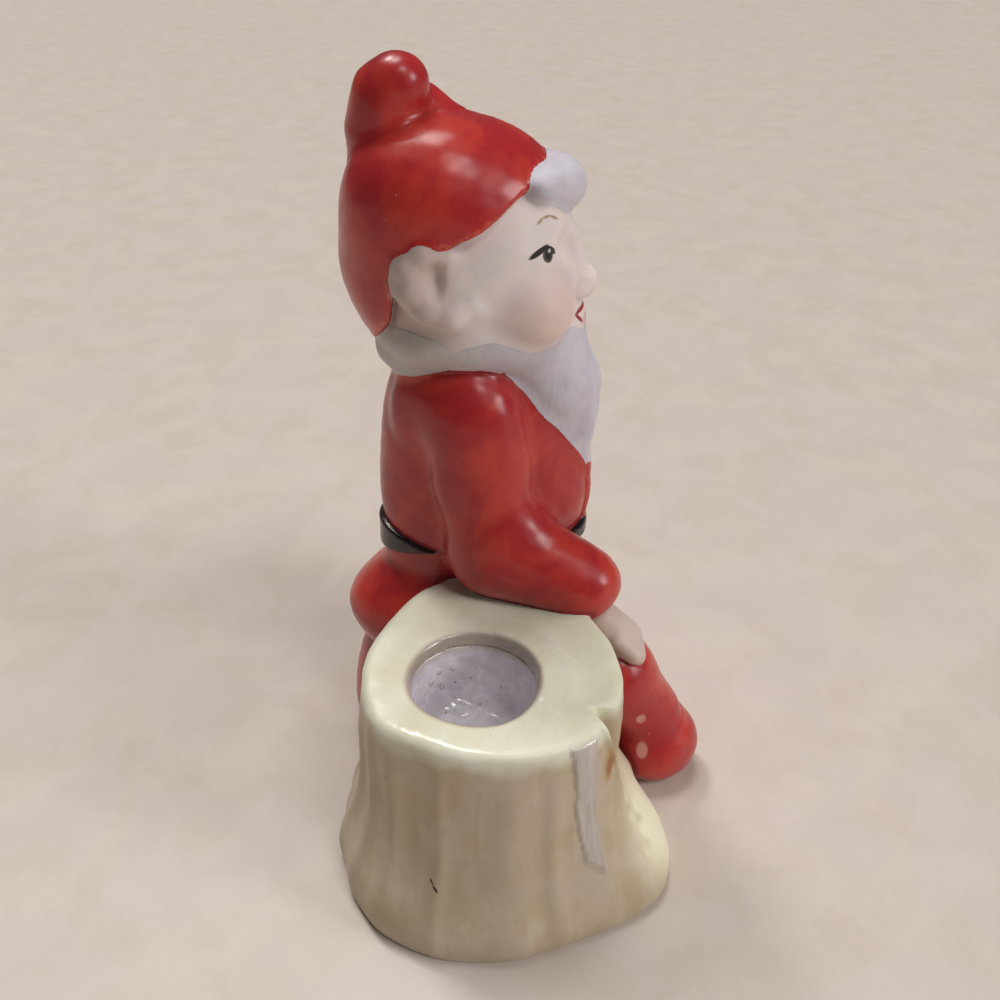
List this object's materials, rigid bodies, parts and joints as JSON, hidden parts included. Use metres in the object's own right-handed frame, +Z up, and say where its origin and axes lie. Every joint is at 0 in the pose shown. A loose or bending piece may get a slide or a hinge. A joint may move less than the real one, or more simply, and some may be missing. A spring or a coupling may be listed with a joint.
{
  "type": "gnome figurine candle holder",
  "caption": "Seated bearded gnome in a red hat and jacket beside a cream tree stump whose top holds a taper candle in a round cup.",
  "frame": {"origin": "centre of the footprint's bounding box, on the ground", "axes": "+Z up, the gnome faces -Y, and the tree stump is on the gnome's right, towards -X"},
  "size_m": [0.0876, 0.0736, 0.1396],
  "materials": {
    "stump_glaze": "cream glaze, glossy on the top and thinner on the bark wall",
    "cup_glaze": "white glaze with a lilac cast, pooled and pitted",
    "red_paint": "satin cold-painted red over bisque",
    "black_paint": "glossy black paint",
    "skin_bisque": "matt bisque with a blush",
    "hair_bisque": "matt white bisque"
  },
  "bodies": {
    "root": {"stump_shell": "stump_glaze", "candle_cup": "cup_glaze", "trouser_seat": "red_paint", "jacket_skirt": "red_paint", "torso_shell": "red_paint", "jacket_placket": "red_paint", "right_sleeve": "red_paint", "left_sleeve": "red_paint", "right_leg": "red_paint", "left_leg": "red_paint", "right_shoe": "red_paint", "left_shoe": "red_paint", "hat": "red_paint", "hat_tail": "red_paint", "belt": "black_paint", "head": "skin_bisque", "right_ear": "skin_bisque", "left_ear": "skin_bisque", "right_hand": "skin_bisque", "left_hand": "skin_bisque", "beard": "hair_bisque", "forelock": "hair_bisque", "nape_hair": "hair_bisque"}
  },
  "joints": []
}
